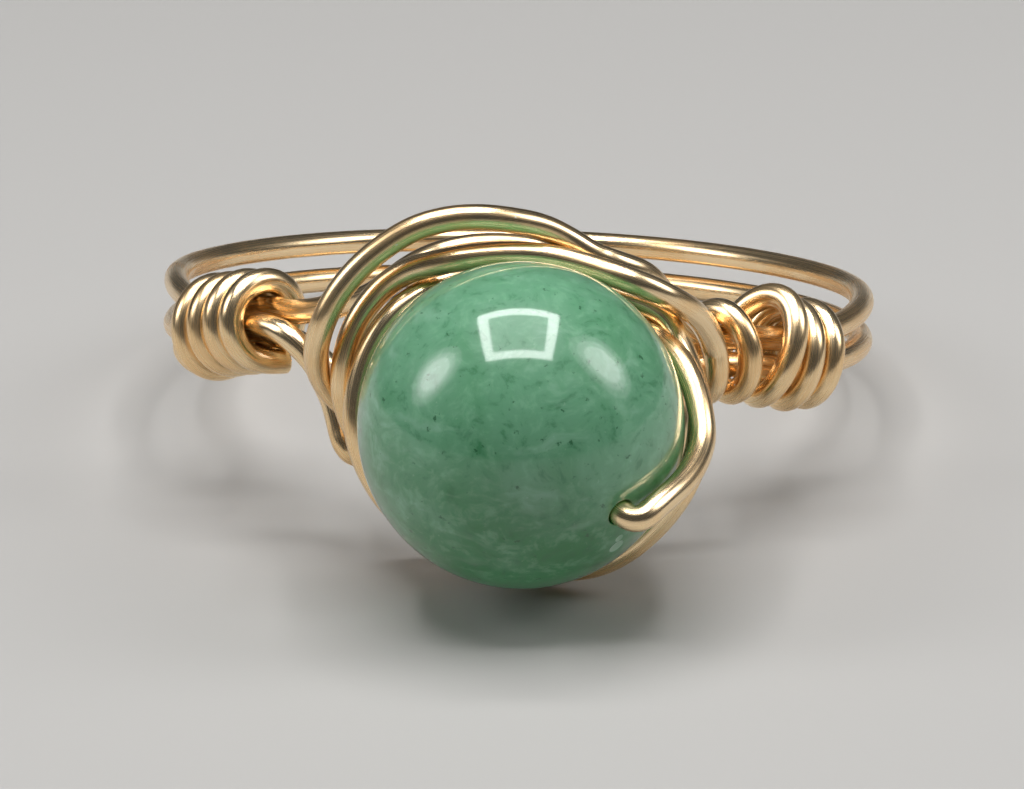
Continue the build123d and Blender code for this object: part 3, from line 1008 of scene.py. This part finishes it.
# %% Material: the colours of the stone, one over another
chip = add(tree, "Attribute", attribute_name="chipped")
fresh = between(tree, (chip, "Fac"), 0.0, 0.012)
stone_dust = add(tree, "Group", node_tree=dust, Scale=1.6, Share=0.05, Size=0.06)
join(tree, place, stone_dust, "Position")
stone_colour = painted(tree, ground, [
    (pale_mottles, 0.5, (0.22, 0.46, 0.29)),
    # The next layer is painted light: a lighter green low on the bead.
    (painted_light_low, 0.6, (0.07, 0.45, 0.17)),
    (dark_mottles, 0.5, (0.018, 0.15, 0.05)),
    (wisps, 0.4, (0.34, 0.56, 0.42)),
    (pale_flecks, 0.3, (0.42, 0.6, 0.48)),
    (fine_flecks, 0.25, (0.38, 0.58, 0.44)),
    (dark_flecks, 0.8, (0.01, 0.09, 0.03)),
    (fresh, 0.6, (0.5, 0.64, 0.54)),
    (stone_dust, 0.7, (0.8, 0.82, 0.8)),
])
join(tree, stone_colour, shader, "Base Color")
print("material:", jade.name, "colours")

# %% Material: the polish of the stone
shader.subsurface_method = "RANDOM_WALK"
shader.inputs["Subsurface Weight"].default_value = 0.45
shader.inputs["Subsurface Radius"].default_value = (0.5, 1.0, 0.6)
shader.inputs["Subsurface Scale"].default_value = 0.9 * MM
shader.inputs["IOR"].default_value = 1.54
join(tree, between(tree, mottles, 0.35, 0.7, 0.3, 0.42), shader, "Roughness")
shader.inputs["Specular IOR Level"].default_value = 0.2
shader.inputs["Coat Roughness"].default_value = 0.075
shader.inputs["Coat IOR"].default_value = 1.55
unpolished = maths(tree, "ADD", fresh, stone_dust)
join(tree, maths(tree, "SUBTRACT", 1.0, maths(tree, "MULTIPLY", unpolished, 0.9)), shader, "Coat Weight")
grain = noise(tree, place, 9.0, 3.0, 0.6)
pits = maths(tree, "MULTIPLY", dark_flecks, -1.0)
relief = maths(tree, "ADD", maths(tree, "MULTIPLY", grain, 0.1), pits)
stone_bump = add(tree, "Bump", Strength=0.25, Distance=0.01 * MM)
join(tree, relief, stone_bump, "Height")
join(tree, stone_bump, shader, "Normal")
bead.data.materials.append(jade)
print("material:", jade.name, "on", bead.name)

# %% [markdown]
# ## Camera
# The camera stands where the ring has the same outline as in the photograph. It looks at
# the ring from a little above, from about twenty of the bead's diameters away, which is
# close enough for the front of the ring to be plainly larger than its back. Its place is
# given in the ring's own frame, by the distance in millimetres from the middle of the
# finger hole and three angles, and is then turned with the ring. The lens is given as a
# focal length in pixels, next to the pixel where the middle of the finger hole falls.

# %% Camera
# The picture, the ring's place in it and the lens, in pixels; the sensor and distance, in
# millimetres; and three angles, in degrees.
picture_width, picture_height = 1024, 789
ring_pixel = np.array([518.635, 308.344])
focal_pixels = 6600.0
sensor_width = 36.0
distance = 173.11
pitch_down, turned_by, rolled_by = map(math.radians, (8.637, 0.606, 1.578))


def unit(vector):
    """The vector divided by its length."""
    return vector / np.linalg.norm(vector)


def view_axes():
    """Place, right, up and ahead: ahead from the angles, rolled, then swung to set the ring off centre."""
    forward = np.array([
        math.sin(turned_by) * math.cos(pitch_down),
        math.cos(turned_by) * math.cos(pitch_down),
        -math.sin(pitch_down),
    ])
    place = -distance * forward
    right = unit(np.cross(forward, [0, 0, 1]))
    up = np.cross(right, forward)
    cosine, sine = math.cos(rolled_by), math.sin(rolled_by)
    right, up = right * cosine + up * sine, up * cosine - right * sine
    aside = (ring_pixel[0] - picture_width / 2) / focal_pixels
    below = -(ring_pixel[1] - picture_height / 2) / focal_pixels
    ahead = unit(forward - right * aside - up * below)
    level = unit(right - ahead * (right @ ahead))
    return place, level, np.cross(level, ahead), ahead


camera_place, view_right, view_up, view_ahead = view_axes()
view_right, view_up, view_ahead = (lying @ v for v in (view_right, view_up, view_ahead))
camera_data = bpy.data.cameras.new("camera")
camera_data.sensor_fit = "HORIZONTAL"
camera_data.sensor_width = sensor_width
camera_data.lens = focal_pixels / picture_width * sensor_width
camera_data.clip_start = 0.01
camera_data.clip_end = 20.0
camera = bpy.data.objects.new("camera", camera_data)
bpy.context.scene.collection.objects.link(camera)
camera_matrix = np.eye(4)
camera_matrix[:3, :3] = np.stack([view_right, view_up, -view_ahead], axis=1)
camera_matrix[:3, 3] = laid(camera_place)
camera.matrix_world = Matrix(camera_matrix.tolist())
bpy.context.scene.camera = camera
looks_down = math.degrees(math.asin(-view_ahead[2]))
print(f"camera {camera_matrix[2, 3] / MM:.1f} mm above the floor, {looks_down:.1f} degrees down")

# %% [markdown]
# ## Light
# The polished bead shows what lights it: a four-sided frame of light overhead, dimmer
# inside than along its bars, and a soft oval light raised on each side. Their directions
# follow from where their reflections sit on the bead. Each oval is three lights of growing
# size, one behind the other, so its reflection fades towards the rim. Metal looks like metal
# only when it has something dark to reflect too, so the rest of the room is dim.

# %% Soft lights
def soft_light(name, towards, reach, width, height, watts, shape="RECTANGLE", shift=(0.0, 0.0)):
    """A flat light at reach mm from the bead in a direction, facing it, shifted in its own plane."""
    data = bpy.data.lights.new(name, "AREA")
    data.shape = shape
    data.size, data.size_y = width * MM, height * MM
    data.energy = watts
    light = bpy.data.objects.new(name, data)
    bpy.context.scene.collection.objects.link(light)
    back = unit(np.array(towards, float))
    # A light straight overhead is levelled by Y, because Z gives it no direction across.
    overhead = abs(back[2]) > 0.9
    across = unit(np.cross([0, 1, 0] if overhead else [0, 0, 1], back))
    matrix = np.eye(4)
    matrix[:3, :3] = np.stack([across, np.cross(back, across), back], axis=1)
    matrix[:3, 3] = stone_centre + (matrix[:3, :3] @ [shift[0], shift[1], reach]) * MM
    light.matrix_world = Matrix(matrix.tolist())


def from_view(right, up, off_axis):
    """A direction by its angle off the line to the camera and its heading in the picture."""
    heading = unit(np.array([right, up]))
    sideways = heading[0] * view_right + heading[1] * view_up
    turned = math.radians(off_axis)
    return sideways * math.sin(turned) - view_ahead * math.cos(turned)


print("lights face the bead, whose centre is", (stone_centre / MM).round(1), "mm")

# %% The frame of light and the ovals
# The frame hangs straight over the bead, 68 degrees above the line to the camera.
over = from_view(-0.027, 1.0, 68)
# Bars: name, width and height, and the shift to the right and up, all in millimetres.
frame_bars = [
    ("bar_left", 17, 112, -52, 0), ("bar_right", 17, 112, 52, 0),
    ("bar_front", 87, 17, 0, -48), ("bar_back", 87, 17, 0, 48),
]
frame_reach = 150
bar_watts_per_square_mm = 0.000029
for name, width, height, right, up in frame_bars:
    watts = bar_watts_per_square_mm * width * height
    soft_light(name, over, frame_reach, width, height, watts, shift=(right, up))
soft_light("frame_inside", over, frame_reach + 1, 120, 112, 0.07)

# Ovals: side, direction, width and height in millimetres, and watts.
side_lights = [
    ("left", from_view(-0.86, 0.51, 74), 86, 132, 0.105),
    ("right", from_view(0.80, 0.60, 76), 98, 150, 0.12),
]
# Parts of an oval: name, size beside the whole, and share of its watts. Larger ones stand behind.
soft_edge = [("core", 0.62, 0.3), ("middle", 0.85, 0.4), ("rim", 1.12, 0.42)]
side_reach = 200
step_back = 2
for part, size, share in soft_edge:
    reach = side_reach + step_back * size
    for side, towards, width, height, watts in side_lights:
        name = f"{side}_{part}"
        soft_light(name, towards, reach, width * size, height * size, watts * share, "ELLIPSE")

# The Standard view keeps strong and bright colours as they are worked out.
bpy.context.scene.view_settings.view_transform = "Standard"
print("lights:", len(bpy.data.lights))

# %% Room and floor
world = bpy.data.worlds.new("room")
world.use_nodes = True
world.node_tree.nodes["Background"].inputs["Color"].default_value = (0.9, 0.95, 1.0, 1)
world.node_tree.nodes["Background"].inputs["Strength"].default_value = 0.06
bpy.context.scene.world = world
half_floor = 2.0
corner = np.array([[-1, -1, 0], [1, -1, 0], [1, 1, 0], [-1, 1, 0]]) * half_floor
floor = mesh_object("floor", corner, np.array([[0, 1, 2, 3]]))
floor_paint, tree, shader = new_material("pale_floor")
shader.inputs["Base Color"].default_value = (0.46, 0.45, 0.435, 1)
shader.inputs["Roughness"].default_value = 0.65
floor.data.materials.append(floor_paint)
print("floor", 2 * half_floor, "m across")
